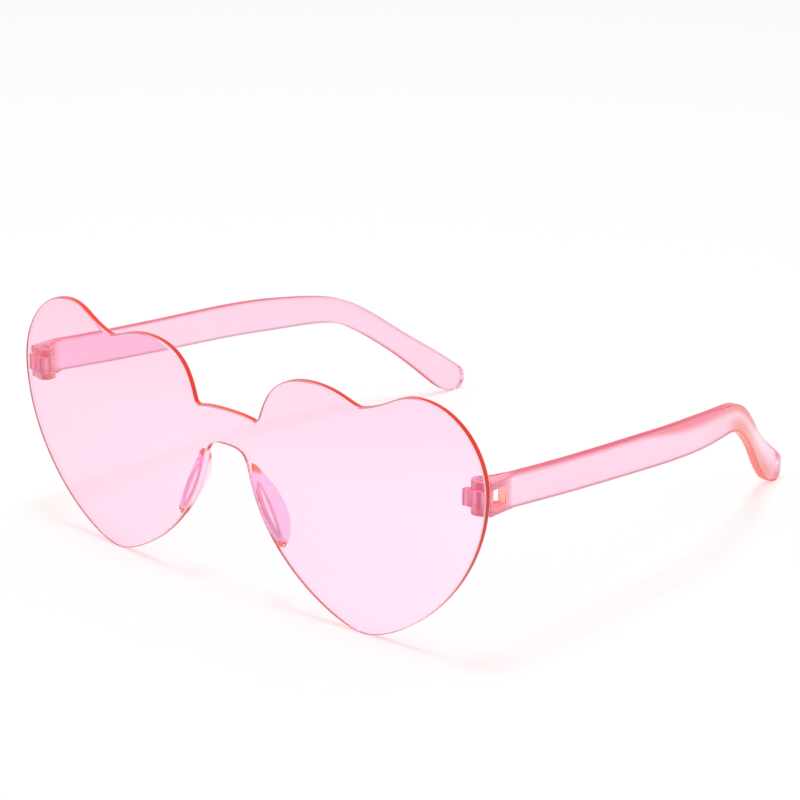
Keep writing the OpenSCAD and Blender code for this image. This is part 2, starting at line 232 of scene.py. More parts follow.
def rounded_loop(corners, cuts, steps=6):
    """A polygon whose corners are quadratic curves: (1-t)^2 a + 2(1-t)t corner + t^2 b."""
    t = np.linspace(0, 1, steps)[:, None]
    corners = np.array(corners, float)
    parts = []
    for i, cut in enumerate(cuts):
        at, before, after = corners[i], corners[i - 1], corners[(i + 1) % len(corners)]
        a = at + cut * (before - at) / np.linalg.norm(before - at)
        b = at + cut * (after - at) / np.linalg.norm(after - at)
        rounded = (1 - t) ** 2 * a + 2 * (1 - t) * t * at + t**2 * b
        parts.append(at[None] if cut == 0 else rounded)
    return np.concatenate(parts)


# Surfaces

# What a face of a piece is: a broad face, a rim's flat band, a rounded edge or a slot's end
FACE, BAND, ROUNDED, SLOT_END = 0, 1, 2, 3
# Share of a sheet's height in the narrow rows along its rim
RIM_ROW_SHARE = 0.008
# Millimetres within which points are merged
MERGE = 0.002
# Degrees past which an edge stays sharp
SHARP, PAD_SHARP = 40, 50


def cells(at):
    """The quads between the points of a grid, whose numbers it holds."""
    return np.stack([at[:-1, :-1], at[1:, :-1], at[1:, 1:], at[:-1, 1:]], -1).reshape(-1, 4)


def grid_faces(count, rows, start=0, wrap=False):
    """The quads of a grid of count by rows points, closed along count where wrap is set."""
    at = start + np.arange(count * rows).reshape(count, rows)
    return cells(np.concatenate([at, at[:1]]) if wrap else at)


def rounded_sheet(top, bottom, top_out, bottom_out, faces_at, edge, rows, round_steps=4):
    """A sheet between two faces, with a rounded rim all round it.

    A face's point is bottom + t (top - bottom), set back from the outline by the edge radius.
    A narrow row at each end of t keeps the rim's shading off the flat faces.
    The rim is a quarter circle, a flat band and a quarter circle, carried round the outline.
    faces_at gives the two faces' depths for plane points. Returns plane points, depths, quads,
    the quads' kinds, and each point's first coordinate of the rim's outward direction."""
    top_in, bottom_in = top - edge * top_out, bottom - edge * bottom_out
    middle_rows = np.linspace(0, 1, rows + 1)[1:-1]
    t = np.concatenate([[0, RIM_ROW_SHARE], middle_rows, [1 - RIM_ROW_SHARE, 1]])
    rows = len(t)
    t = t[None, :, None]
    grid = bottom_in[:, None] * (1 - t) + top_in[:, None] * t
    near, far = faces_at(grid)
    flat = grid.reshape(-1, 2)
    count = len(top)
    start_out = np.tile([-1.0, 0.0], (rows, 1))
    loop = np.concatenate([top_in, bottom_in[::-1], grid[0]])
    out = np.concatenate([top_out, bottom_out[::-1], start_out])
    loop_near, loop_far = faces_at(loop)
    back = np.sign(loop_far - loop_near)[:, None]
    turn = np.linspace(0, math.pi / 2, round_steps + 1)
    reach = np.concatenate([np.sin(turn), np.sin(turn[::-1])]) * edge
    sunk = (1 - np.cos(turn)) * edge
    rim = loop[:, None] + out[:, None] * reach[None, :, None]
    rim_depth = np.concatenate(
        [loop_near[:, None] + back * sunk, loop_far[:, None] - back * sunk[::-1]], axis=1
    )
    plane = np.concatenate([flat, flat, rim.reshape(-1, 2)])
    depth = np.concatenate([near.ravel(), far.ravel(), rim_depth.ravel()])
    face_quads = grid_faces(count, rows)
    rim_quads = grid_faces(len(loop), 2 * round_steps + 2, 2 * len(flat), wrap=True)
    quads = np.concatenate([face_quads, face_quads + len(flat), rim_quads])
    strip = np.full(2 * round_steps + 1, ROUNDED)
    strip[round_steps] = BAND
    kinds = np.concatenate([np.full(2 * len(face_quads), FACE), np.tile(strip, len(loop))])
    outward = np.concatenate([np.zeros(2 * len(flat)), np.repeat(out[:, 0], rim.shape[1])])
    return plane, depth, quads, kinds, outward


def rounded_slab(loop, low, high, edge, round_steps=3, cap_rings=3):
    """A closed loop carried up from the middle of the lower cap to the middle of the upper one.

    The caps are the loop drawn in towards its middle, the side is straight, and quarter circles
    join them. Returns points, quads and the quads' kinds, with the side as the band."""
    out = closed_normals(loop)
    middle = loop.mean(0)
    inner = loop - edge * out
    share = np.linspace(0, 1, cap_rings + 1)[:-1]
    turn = np.linspace(0, math.pi / 2, round_steps + 1)
    cap = middle + (inner - middle)[:, None] * share[None, :, None]
    ring = inner[:, None] + out[:, None] * (np.sin(turn) * edge)[None, :, None]
    plane = np.concatenate([cap, ring, ring[:, ::-1], cap[:, ::-1]], axis=1)
    rise = np.concatenate([np.full(cap_rings, low), low + (1 - np.cos(turn)) * edge])
    rise = np.concatenate([rise, high + low - rise[::-1]])
    height = np.broadcast_to(rise[None, :, None], plane.shape[:2] + (1,))
    points = np.concatenate([plane, height], axis=2)
    quads = grid_faces(len(loop), points.shape[1], wrap=True)
    strip = np.full(points.shape[1] - 1, FACE)
    strip[cap_rings : cap_rings + 2 * round_steps + 1] = ROUNDED
    strip[cap_rings + round_steps] = BAND
    return points.reshape(-1, 3), quads, np.tile(strip, len(loop))


def add_object(name, data):
    """A new object in the scene, in place of an old one of that name."""
    old = bpy.data.objects.get(name)
    if old is not None:
        bpy.data.objects.remove(old)
    new = bpy.data.objects.new(name, data)
    bpy.context.scene.collection.objects.link(new)
    return new


def make_piece(name, points, quads, kinds, materials, sharp=SHARP, marks=None):
    """A new object of the given millimetre points. Its doubles are merged, which closes seams
    and poles, and then its faces are turned outwards. Marks are named numbers on the points."""
    mesh = bpy.data.meshes.new(name)
    mesh.from_pydata((points * MM).tolist(), [], quads.tolist())
    mesh.polygons.foreach_set("material_index", np.asarray(kinds, np.int32))
    for material in materials:
        mesh.materials.append(material)
    for mark, values in (marks or {}).items():
        add_mark(mesh, mark, values)
    work = bmesh.new()
    work.from_mesh(mesh)
    bmesh.ops.remove_doubles(work, verts=work.verts, dist=MERGE * MM)
    bmesh.ops.dissolve_degenerate(work, dist=MERGE * MM, edges=work.edges)
    bmesh.ops.recalc_face_normals(work, faces=work.faces)
    if work.calc_volume(signed=True) < 0:
        bmesh.ops.reverse_faces(work, faces=work.faces)
    work.to_mesh(mesh)
    work.free()
    smooth(mesh, sharp)
    return add_object(name, mesh)


def add_mark(mesh, name, values):
    """Stores a number on each of a mesh's points, for its materials to read."""
    mark = mesh.attributes.new(name, "FLOAT", "POINT")
    mark.data.foreach_set("value", np.asarray(values, np.float32))


def smooth(mesh, sharp):
    """Shades a mesh smooth, apart from edges past an angle in degrees."""
    mesh.polygons.foreach_set("use_smooth", np.ones(len(mesh.polygons), bool))
    mesh.set_sharp_from_angle(angle=math.radians(sharp))
    mesh.update()


def combine(piece, tool, operation):
    """Joins a closed tool to a piece, or cuts it from the piece, and keeps what comes out."""
    step = piece.modifiers.new("combine", "BOOLEAN")
    step.operation, step.solver, step.object = operation, "MANIFOLD", tool
    done = piece.evaluated_get(bpy.context.evaluated_depsgraph_get())
    mesh = bpy.data.meshes.new_from_object(done)
    piece.modifiers.clear()
    old, piece.data = piece.data, mesh
    mesh.name = piece.name
    bpy.data.meshes.remove(old)
    bpy.data.objects.remove(tool)
    smooth(mesh, SHARP)


# Materials

PLASTIC_IOR, EDGE_SPECULAR = 1.49, 0.2
# Bounces after which light inside clear plastic leaves it straight on
BOUNCES_INSIDE = 4.5
# The range of a noise that is spread over soft clouds, and the tighter one of clear patches
CLOUD_RANGE, PATCH_RANGE = (0.3, 0.7), (0.35, 0.65)
# How many times its least roughness a hazy face and a grainy edge reach
HAZE_REACH, GRAIN_REACH = 2.2, 2.0
# Depths of the fine bumps, in metres, and how much of them shows
RIPPLE_DEPTH, GRAIN_DEPTH, GRAIN_STRENGTH = 0.0006, 0.00003, 0.15


class Nodes:
    """The nodes of a new material, or of an owner such as the world, with short ways to add and
    link them."""

    def __init__(self, name, owner=None):
        if owner is None:
            old = bpy.data.materials.get(name)
            if old is not None:
                bpy.data.materials.remove(old)
            owner = bpy.data.materials.new(name)
        owner.use_nodes = True
        self.material, self.tree = owner, owner.node_tree
        self.tree.nodes.clear()

    def put(self, socket, value):
        """Links another node's output to an input, or sets the input's value."""
        if isinstance(value, bpy.types.NodeSocket):
            self.tree.links.new(value, socket)
        else:
            socket.default_value = value

    def add(self, kind, inputs=None, **settings):
        """A new node with its settings, and its inputs by name or number."""
        node = self.tree.nodes.new(kind)
        for key, value in settings.items():
            setattr(node, key, value)
        for key, value in (inputs or {}).items():
            self.put(node.inputs[key], value)
        return node

    def math(self, operation, a, b=0.0):
        return self.add("ShaderNodeMath", {0: a, 1: b}, operation=operation).outputs[0]

    def times(self, a, b):
        return self.math("MULTIPLY", a, b)

    def spread(self, value, low, high, out_low=0.0, out_high=1.0, kind="SMOOTHSTEP"):
        """Maps a value from one range to another, clamped."""
        return self.add(
            "ShaderNodeMapRange", {0: value, 1: low, 2: high, 3: out_low, 4: out_high},
            interpolation_type=kind,
        ).outputs[0]

    def mix(self, share, a, b):
        """A mix of two colours."""
        node = self.add("ShaderNodeMix", data_type="RGBA")
        for socket, value in ((0, share), (6, a), (7, b)):
            self.put(node.inputs[socket], value)
        return node.outputs[2]

    def blend(self, share, a, b):
        """A mix of two shaders."""
        return self.add("ShaderNodeMixShader", {0: share, 1: a, 2: b}).outputs[0]

    def noise(self, coords, scale, detail):
        return self.add(
            "ShaderNodeTexNoise", {"Vector": coords, "Scale": scale, "Detail": detail}
        ).outputs["Fac"]

    def clouds(self, noise, low, high, kind="LINEAR"):
        """Spreads a noise's middle range between two values."""
        return self.spread(noise, *CLOUD_RANGE, low, high, kind)

    def bump(self, height, strength, depth):
        return self.add(
            "ShaderNodeBump", {"Height": height, "Strength": strength, "Distance": depth}
        ).outputs[0]

    def mark(self, name):
        """A number stored on the mesh's points."""
        return self.add("ShaderNodeAttribute", attribute_name=name).outputs["Fac"]

    def coords(self):
        """Object coordinates."""
        return self.add("ShaderNodeTexCoord").outputs["Object"]

    def place(self):
        """Object coordinates, and each of them apart."""
        coords = self.coords()
        apart = self.add("ShaderNodeSeparateXYZ", {0: coords})
        return coords, apart.outputs[0], apart.outputs[1], apart.outputs[2]

    def close(self, surface):
        """Puts a shader on the surface, and gives the finished material."""
        self.add("ShaderNodeOutputMaterial", {"Surface": surface})
        return self.material


def rgba(c):
    return (c[0], c[1], c[2], 1.0)


DARK = rgba((0.0, 0.0, 0.0))


def clear_surface(nodes, coords, tint, rough=0.02, ripple=0.02):
    """Clear plastic: refracts, lets lamps through in its own tint, with a faint moulded ripple.

    Light that keeps bouncing inside it leaves straight on after a few bounces."""
    haze = nodes.noise(coords, scale=180.0, detail=4.0)
    roughness = nodes.clouds(haze, rough, rough * HAZE_REACH, "SMOOTHSTEP")
    waves = nodes.noise(coords, scale=55.0, detail=2.0)
    glass = nodes.add("ShaderNodeBsdfPrincipled", {
        "Base Color": tint, "Roughness": roughness, "IOR": PLASTIC_IOR,
        "Transmission Weight": 1.0, "Normal": nodes.bump(waves, ripple, RIPPLE_DEPTH)})
    through = nodes.add("ShaderNodeBsdfTransparent", {"Color": tint})
    ray = nodes.add("ShaderNodeLightPath")
    trapped = nodes.math("GREATER_THAN", ray.outputs["Ray Depth"], BOUNCES_INSIDE)
    straight = nodes.math("MAXIMUM", ray.outputs["Is Shadow Ray"], trapped)
    return nodes.blend(straight, glass.outputs[0], through.outputs[0])


def glowing_surface(nodes, coords, glow, clear, rough=0.16, share=1.0, within=0.0, given=DARK):
    """A cut edge: from outside it holds a share of a solid colour, a painted glow standing in for
    the light that gathers in the sheet, and from inside a smaller share of it. The rest is the same
    clear plastic as the faces. The end blocks use it with their own tint as the solid colour.

    given is an emission: painted light standing in for the light that the sheet leads to this
    edge from its faces."""
    grain = nodes.noise(coords, scale=900.0, detail=3.0)
    roughness = nodes.clouds(grain, rough, rough * GRAIN_REACH, "SMOOTHSTEP")
    solid = nodes.add("ShaderNodeBsdfPrincipled", {
        "Base Color": glow, "Roughness": roughness, "IOR": PLASTIC_IOR,
        "Specular IOR Level": EDGE_SPECULAR, "Emission Color": given, "Emission Strength": 1.0,
        "Normal": nodes.bump(grain, GRAIN_STRENGTH, GRAIN_DEPTH)})
    inside = nodes.add("ShaderNodeNewGeometry").outputs["Backfacing"]
    inside = nodes.times(inside, 1.0 - within)
    inside = nodes.math("MAXIMUM", inside, nodes.math("SUBTRACT", 1.0, share))
    seen = nodes.blend(inside, solid.outputs[0], clear)
    through = nodes.add("ShaderNodeBsdfTransparent", {"Color": glow})
    ray = nodes.add("ShaderNodeLightPath")
    return nodes.blend(ray.outputs["Is Shadow Ray"], seen, through.outputs[0])


# The shield's materials. Places are in millimetres.

SIDE_DEEPENS, LOBES_DEEPEN, SHEET_CLOUD = 0.62, 0.4, 0.05
# Where the cut edge runs beside a pad: off the middle, and under and over heights from its top
BESIDE_HALF, BESIDE_UNDER, BESIDE_OVER = (15.0, 14.0), (0.5, -1.0), (-17.0, -14.0)
# The share of the inner line's tint, and the solid share of the pale painted colour beside a pad
INNER_LINE_SHARE, GLUED_SHARE = 0.75, 0.6
# Heights over which the polished edges need more of an outward turn to get the painted highlight,
# and how much
LOW_EDGE, LOW_EDGE_TURN = (24.0, 12.0), 0.5
# Outward turns over which the painted highlight comes in, and the solid shares of painted shade and
# highlight
LIT_TURN, BEVEL_SHARES = (-0.15, 0.25), (0.7, 0.4)
# How much of the painted glow the cut edge holds from inside, and of its tint a polished edge
INSIDE_SHARE, BEVEL_TINT_SHARE = 0.8, 0.5


def shield_tint(nodes, coords, x, z, s):
    """The sheet's tint: deeper in the outer and upper lobes, with a faint cloudiness."""
    half, top = HALF_W * MM, SHIELD_H * MM
    side = nodes.spread(x, half, -half, 0.0, SIDE_DEEPENS, "LINEAR")
    lobes = nodes.spread(z, 0.5 * top, top, 0.0, LOBES_DEEPEN)
    cloud = nodes.clouds(nodes.noise(coords, scale=22.0, detail=2.0), -SHEET_CLOUD, SHEET_CLOUD)
    share = nodes.math("ADD", nodes.math("ADD", side, lobes), cloud)
    share = nodes.spread(share, 0.0, 1.0, 0.0, 1.0, "LINEAR")
    return nodes.mix(share, rgba(s.pale_tint), rgba(s.deep_tint))


def beside_pads(nodes, x, z):
    """Where the cut edge runs beside a nose pad, and loses its painted glow."""
    def between(value, middle, ends):
        return nodes.spread(value, (middle + ends[0]) * MM, (middle + ends[1]) * MM)
    near = between(nodes.math("ABSOLUTE", x), 0.0, BESIDE_HALF)
    height = nodes.times(between(z, PAD_TOP, BESIDE_UNDER), between(z, PAD_TOP, BESIDE_OVER))
    return nodes.times(near, height)


def sheet_material(s):
    """The shield's faces: clear, with the tint alone."""
    face = Nodes("tinted_clear_sheet")
    coords, x, _, z = face.place()
    return face.close(clear_surface(face, coords, shield_tint(face, coords, x, z, s)))


def cut_edge_material(s):
    """The shield's cut edge, with a painted glow but for the stretches beside the pads."""
    band = Nodes("cut_edge_painted_glow")
    coords, x, _, z = band.place()
    beside = beside_pads(band, x, z)
    line = band.spread(beside, 0.0, 1.0, INNER_LINE_SHARE, 0.0)
    tint = band.mix(line, shield_tint(band, coords, x, z, s), rgba(s.inner_line))
    patches = band.spread(band.noise(coords, scale=60.0, detail=2.0), *PATCH_RANGE)
    glow = band.mix(patches, rgba(s.painted_edge_glow), rgba(s.deep_painted_glow))
    # Painted glow: solid orange-red, and beside the pads a pale colour with an emission of painted
    # light
    return band.close(glowing_surface(
        band, coords, band.mix(beside, glow, rgba(s.glued_edge)), clear_surface(band, coords, tint),
        share=band.spread(beside, 0.0, 1.0, 1.0, GLUED_SHARE), within=INSIDE_SHARE,
        given=band.mix(beside, DARK, rgba(s.glued_painted_light))))


def bevel_material(s):
    """The shield's polished edges: a painted highlight where they turn to the light, and painted
    shade as a dark line elsewhere.
    """
    line = Nodes("polished_bevel")
    coords, x, _, z = line.place()
    tint = line.mix(
        BEVEL_TINT_SHARE, shield_tint(line, coords, x, z, s), rgba(s.bevel_tint))
    low = line.spread(z, LOW_EDGE[0] * MM, LOW_EDGE[1] * MM, 0.0, LOW_EDGE_TURN)
    lit = line.spread(line.math("SUBTRACT", line.mark("outward"), low), *LIT_TURN)
    return line.close(glowing_surface(
        line, coords, line.mix(lit, rgba(s.bevel_painted_shade), rgba(s.bevel_painted_highlight)),
        clear_surface(line, coords, tint, rough=0.05), rough=0.1,
        share=line.spread(lit, 0.0, 1.0, *BEVEL_SHARES)))


# The pads' materials

# Of a pad's height: where its top's painted glow ends and is full, how much lower that is on the
# pad away from the light, and the same two places for its foot
CAP_SHARES, SHADED_CAP_SHARE, FOOT_SHARES = (0.15, 0.08), 0.08, (0.10, 0.03)
# Half the width in millimetres over which the light's side turns to the other
TURN_HALF = 5.0
# Ovals on the glued base, across and along it: middle, half sizes, and where they fade in
OVAL_SHARES, OVAL_HALF_SHARES, OVAL_FADE = (0.5, 0.44), (0.5, 0.36), (1.0, 0.82)
# The second oval is the painted highlight
SHINE_SHARES, SHINE_HALF_SHARES, SHINE_FADE = (0.55, 0.46), (0.14, 0.28), (1.0, 0.55)
BASE_CAP_SHARES, BASE_FOOT_SHARES = (0.86, 0.92), (0.10, 0.05)
LEAF_CLOUD = 0.25


def leaf_material(s):
    """A pad's body: clear, with a painted glow at its two ends, lower on the pad away from the
    light.
    """
    leaf = Nodes("clear_pad_plastic")
    coords, x, _, z = leaf.place()
    tall = s.height / MM
    low, high = PAD_TOP - tall, PAD_TOP
    def height(middle, share):
        return (middle + share * tall) * MM
    # Painted glow at the ends, whose top reaches lower on the pad away from the light
    shaded = leaf.spread(x, -TURN_HALF * MM, TURN_HALF * MM, SHADED_CAP_SHARE * tall * MM, 0.0)
    top = leaf.spread(leaf.math("ADD", z, shaded), *(height(high, -share) for share in CAP_SHARES))
    foot = leaf.spread(z, *(height(low, share) for share in FOOT_SHARES))
    cloud = leaf.clouds(leaf.noise(coords, scale=240.0, detail=2.0), 0.0, LEAF_CLOUD)
    body = leaf.mix(cloud, rgba(s.body_tint), rgba(s.body_pale))
    tint = leaf.mix(leaf.math("MAXIMUM", top, foot), body, rgba(s.painted_end_glow))
    return leaf.close(clear_surface(leaf, coords, tint, rough=0.03, ripple=0.05))


def glued_base_material(s):
    """A pad's glued face: a rose oval with a painted highlight as a bright streak, between the two
    ends of painted glow.
    """
    glued = Nodes("glued_pad_base")
    coords = glued.coords()
    along = glued.mark("along")
    def oval(middle, half, fade):
        """Inside ((across - a) / p)^2 + ((along - b) / q)^2 = 1."""
        squares = [
            glued.math("POWER", glued.math("DIVIDE", glued.math("SUBTRACT", at, a), p), 2.0)
            for at, a, p in zip((glued.mark("across"), along), middle, half)]
        return glued.spread(glued.math("ADD", *squares), *fade)
    # Painted highlight: a bright streak within the rose oval
    shine = oval(SHINE_SHARES, SHINE_HALF_SHARES, SHINE_FADE)
    rose = glued.mix(shine, rgba(s.base_tint), rgba(s.base_painted_highlight))
    tint = glued.mix(oval(OVAL_SHARES, OVAL_HALF_SHARES, OVAL_FADE), rgba(s.body_tint), rose)
    ends = glued.math("MAXIMUM", glued.spread(along, *BASE_CAP_SHARES),
                      glued.spread(along, *BASE_FOOT_SHARES))
    tint = glued.mix(ends, tint, rgba(s.painted_end_glow))
    return glued.close(clear_surface(glued, coords, tint, rough=0.03, ripple=0.05))


# The arms' materials. The left arm stands in the light, and its bend and drop get a painted orange
# glow.

# Places along an arm, as shares of the way from the hinge's axis to its tip
ORANGE_SHARES = (0.64, 0.75)
PALE_DROP_SHARES = (0.76, 0.82)
UPPER_WIDENS_SHARES, UPPER_ENDS_SHARES = (0.36, 0.55), (0.88, 0.80)
MIDDLE_STARTS_SHARES, MIDDLE_ENDS_SHARES = (0.52, 0.74), (0.84, 0.78)
LOWER_ENDS_SHARES = (1.0, 0.91)
# Places up an arm, as shares of its height there
UPPER_HALF_SHARES = (0.4, 0.7)
UPPER_FOOT_SHARES, UPPER_FULL_SHARE = (0.86, 0.56), 0.72
LOWER_HALF_SHARES = (0.75, 0.2)
# How strong the painted glow is in the middle, at the drop's end, and on the arm in the
# shade and the one in the light
MIDDLE_SHARE, DROP_END_SHARE, GATHER_SHARES = 0.22, 0.2, (0.05, 0.95)
# Solid shares of the painted colours: of the ears in the shade and in the light, of the bend's
# faces, of the cut edge along the drop's upper side, and of the rounded edges on the drop
EAR_SHARES, BEND_SHARE, PALE_EDGE_SHARE, ROUND_SHARES = (0.12, 0.4), 0.3, 0.25, (0.7, 0.1)
# Millimetres from the hinge's axis over which the cut edge takes the hinge's painted glow
HINGE_REACH = (9.0, 3.0)
# How strong the clouds and patches are, how much of their own tint the edges take, and how
# rough and how solid the rounded edge of the drop and the slot's end are
ARM_CLOUD, ARM_PATCH, ARM_EDGE_TINT_SHARE = 0.12, 0.3, 0.5
DROP_ROUGH, SLOT_END_SHARE = 0.3, 0.8
# Half the width in millimetres over which the light's side turns to the other
SIDE_HALF = 20.0


def along_arm(nodes, y, shares, low=0.0, high=1.0):
    """Spreads two values between two places along an arm."""
    start, end = ((AXIS_Y + (TIP_Y - AXIS_Y) * share) * MM for share in shares)
    return nodes.spread(y, start, end, low, high)


def lit_side(nodes, x, low=0.0, high=1.0):
    """One value on the right arm and another on the left one, which stands in the light: it
    sets lit and shaded copies of the painted colours.
    """
    return nodes.spread(x, -SIDE_HALF * MM, SIDE_HALF * MM, low, high)


def bend_share(nodes, x, y):
    """How far along the lit arm, from straight to drop, the painted glow turns orange."""
    return nodes.times(along_arm(nodes, y, ORANGE_SHARES), lit_side(nodes, x))


def upper_drop(nodes, y):
    """The upper side of the drop, where the painted glow stays pale."""
    return nodes.times(along_arm(nodes, y, PALE_DROP_SHARES),
                       nodes.spread(nodes.mark("rise"), *UPPER_HALF_SHARES))


def gathered(nodes, x, y):
    """How much of the painted glow shows on the broad faces: under the upper edge, widening
    to the bend, and over the lower edge of the drop, almost only on the arm in the light."""
    rise = nodes.mark("rise")
    foot = along_arm(nodes, y, UPPER_WIDENS_SHARES, *UPPER_FOOT_SHARES)
    upper = nodes.math("DIVIDE", nodes.math("SUBTRACT", rise, foot),
                       nodes.math("SUBTRACT", 1.0, foot))
    upper = nodes.times(nodes.spread(upper, 0.0, UPPER_FULL_SHARE),
                        along_arm(nodes, y, UPPER_ENDS_SHARES))
    lower = nodes.times(nodes.spread(rise, *LOWER_HALF_SHARES), bend_share(nodes, x, y))
    lower = nodes.times(lower, along_arm(nodes, y, LOWER_ENDS_SHARES, DROP_END_SHARE, 1.0))
    middle = nodes.times(along_arm(nodes, y, MIDDLE_STARTS_SHARES),
                         along_arm(nodes, y, MIDDLE_ENDS_SHARES, 0.0, MIDDLE_SHARE))
    both = nodes.math("MAXIMUM", nodes.math("MAXIMUM", upper, lower), middle)
    return nodes.times(both, lit_side(nodes, x, *GATHER_SHARES))


def over_ears(nodes, y):
    """From the arm's sheet to the ears."""
    slot_end = AXIS_Y + SLOT_DEPTH
    return nodes.spread(y, (slot_end + EAR_R) * MM, slot_end * MM)


def ear_lit_and_shaded_colour(nodes, x, s):
    # Painted light and shade: the lit colour on the left arm, the shaded one on the right
    left = nodes.spread(x, AXIS_X * MM, -AXIS_X * MM)
    return nodes.mix(left, rgba(s.lit_ear_painted_tint), rgba(s.shaded_ear_painted_tint))


def arm_tint(nodes, coords, x, y, s):
    """The arm's tint: faintly clouded, deeper in the ears with painted lit and shaded colours, and
    deeper in the painted glow.
    """
    cloud = nodes.clouds(nodes.noise(coords, scale=90.0, detail=3.0), 0.0, ARM_CLOUD)
    plain = nodes.mix(cloud, rgba(s.body_tint), rgba(s.body_pale))
    plain = nodes.mix(over_ears(nodes, y), plain, ear_lit_and_shaded_colour(nodes, x, s))
    rose = nodes.mix(bend_share(nodes, x, y), rgba(s.upper_painted_glow), rgba(s.bend_painted_glow))
    return nodes.mix(gathered(nodes, x, y), plain, rose)


def arm_face_material(s):
    """An arm's broad faces: clear, and in part solid with painted light on the ears and at the
    bend.
    """
    face = Nodes("clear_arm_plastic")
    coords, x, y, _ = face.place()
    clear = clear_surface(face, coords, arm_tint(face, coords, x, y, s), rough=0.05, ripple=0.04)
    bend = bend_share(face, x, y)
    ears = face.times(over_ears(face, y), lit_side(face, x, *EAR_SHARES))
    bent = face.times(face.times(gathered(face, x, y), bend), BEND_SHARE)
    return face.close(glowing_surface(
        face, coords, face.mix(bend, ear_lit_and_shaded_colour(face, x, s), rgba(s.bend_painted_face)), clear,
        share=face.math("MAXIMUM", ears, bent)))


def arm_edge_material(s):
    """An arm's narrow faces, with a painted glow: rose, orange at the lit arm's bend."""
    band = Nodes("arm_edge_painted_glow")
    coords, x, y, _ = band.place()
    tint = band.mix(ARM_EDGE_TINT_SHARE, arm_tint(band, coords, x, y, s), rgba(s.painted_edge_glow))
    patches = band.noise(coords, scale=35.0, detail=2.0)
    patches = band.spread(patches, *PATCH_RANGE, 0.0, ARM_PATCH)
    rose = band.mix(patches, rgba(s.painted_edge_glow), rgba(s.edge_pale))
    hinge = band.spread(y, *((AXIS_Y + reach) * MM for reach in HINGE_REACH))
    rose = band.mix(hinge, rose, rgba(s.hinge_painted_glow))
    return band.close(glowing_surface(
        band, coords, band.mix(bend_share(band, x, y), rose, rgba(s.bend_painted_glow)),
        clear_surface(band, coords, tint, rough=0.05),
        share=band.spread(upper_drop(band, y), 0.0, 1.0, 1.0, PALE_EDGE_SHARE)))


def arm_round_material(s):
    """An arm's rounded edges: clear, and in part solid with a painted orange glow on the lit arm's
    drop.
    """
    line = Nodes("rounded_arm_edge")
    coords, x, y, _ = line.place()
    tint = line.mix(ARM_EDGE_TINT_SHARE, arm_tint(line, coords, x, y, s), rgba(s.round_tint))
    # Painted glow: solid orange on the lit arm's drop
    drop = line.add("ShaderNodeBsdfPrincipled", {
        "Base Color": rgba(s.bend_painted_glow), "Roughness": DROP_ROUGH, "IOR": PLASTIC_IOR,
        "Specular IOR Level": EDGE_SPECULAR})
    side = line.spread(upper_drop(line, y), 0.0, 1.0, *ROUND_SHARES)
    clear = clear_surface(line, coords, tint, rough=0.06)
    return line.close(line.blend(line.times(bend_share(line, x, y), side), clear, drop.outputs[0]))


def slot_end_material(s):
    """The end of the hinge's slot, with a painted glow and an emission of painted light, for the
    light that the arm leads to it.
    """
    end = Nodes("slot_end_painted_glow")
    coords = end.coords()
    clear = clear_surface(end, coords, rgba(s.slot_painted_glow), rough=0.05)
    # Painted glow, with an emission of painted light
    return end.close(glowing_surface(
        end, coords, rgba(s.slot_painted_glow), clear, share=SLOT_END_SHARE, given=rgba(s.slot_painted_light)))


# The hinges' materials

STEEL_GRAIN_STRETCH = (1.0, 1.0, 6.0)
STEEL_SHADE, STEEL_ROUGH, STEEL_RANGE, STEEL_BUMP = 0.7, (0.22, 0.4), (0.2, 0.8), 0.2
BLOCK_CLOUD, BLOCK_SHARE = 0.4, 0.4


def block_material(s):
    """The end blocks: clouded clear plastic, in part solid."""
    block = Nodes("clear_block_plastic")
    coords = block.coords()
    cloud = block.clouds(block.noise(coords, scale=300.0, detail=3.0), 0.0, BLOCK_CLOUD)
    tint = block.mix(cloud, rgba(s.block_tint), rgba(s.block_pale))
    clear = clear_surface(block, coords, tint, rough=0.05, ripple=0.06)
    return block.close(glowing_surface(block, coords, tint, clear, share=BLOCK_SHARE))


def steel_material(s):
    """The screws: steel with fine turned grain, painted pink as a painted reflection of the plastic
    round it.
    """
    steel = Nodes("turned_steel")
    stretched = steel.add("ShaderNodeMapping", {0: steel.coords(), 3: STEEL_GRAIN_STRETCH})
    grain = steel.noise(stretched.outputs[0], scale=1500.0, detail=4.0)
    shade = rgba(tuple(v * STEEL_SHADE for v in s.steel))
    metal = steel.add("ShaderNodeBsdfPrincipled", {
        "Base Color": steel.mix(steel.clouds(grain, 0.0, 1.0, "SMOOTHSTEP"), rgba(s.steel), shade),
        "Metallic": 1.0, "Roughness": steel.spread(grain, *STEEL_RANGE, *STEEL_ROUGH),
        "Normal": steel.bump(grain, STEEL_BUMP, GRAIN_DEPTH)})
    return steel.close(metal.outputs[0])


# The shield. Its outline's knots are shares of the half width and of the height.

BRIDGE_HALF, BRIDGE_DROP, CORNER_CUT, CORNER_HOLD_SHARE = 9.7, 1.0, 1.2, 0.6
BRIDGE_TOP, ARCH_TOP, ARCH_FOOT, ARCH_HALF = 44.5, 36.1, 30.4, 7.2
CURVE_HEIGHT_SHARE = 0.56
# Points on each leg of an outline, and the shield's grid from its middle to its side
LEG_STEPS, SHIELD_COLUMNS, SHIELD_ROWS = 240, 190, 22


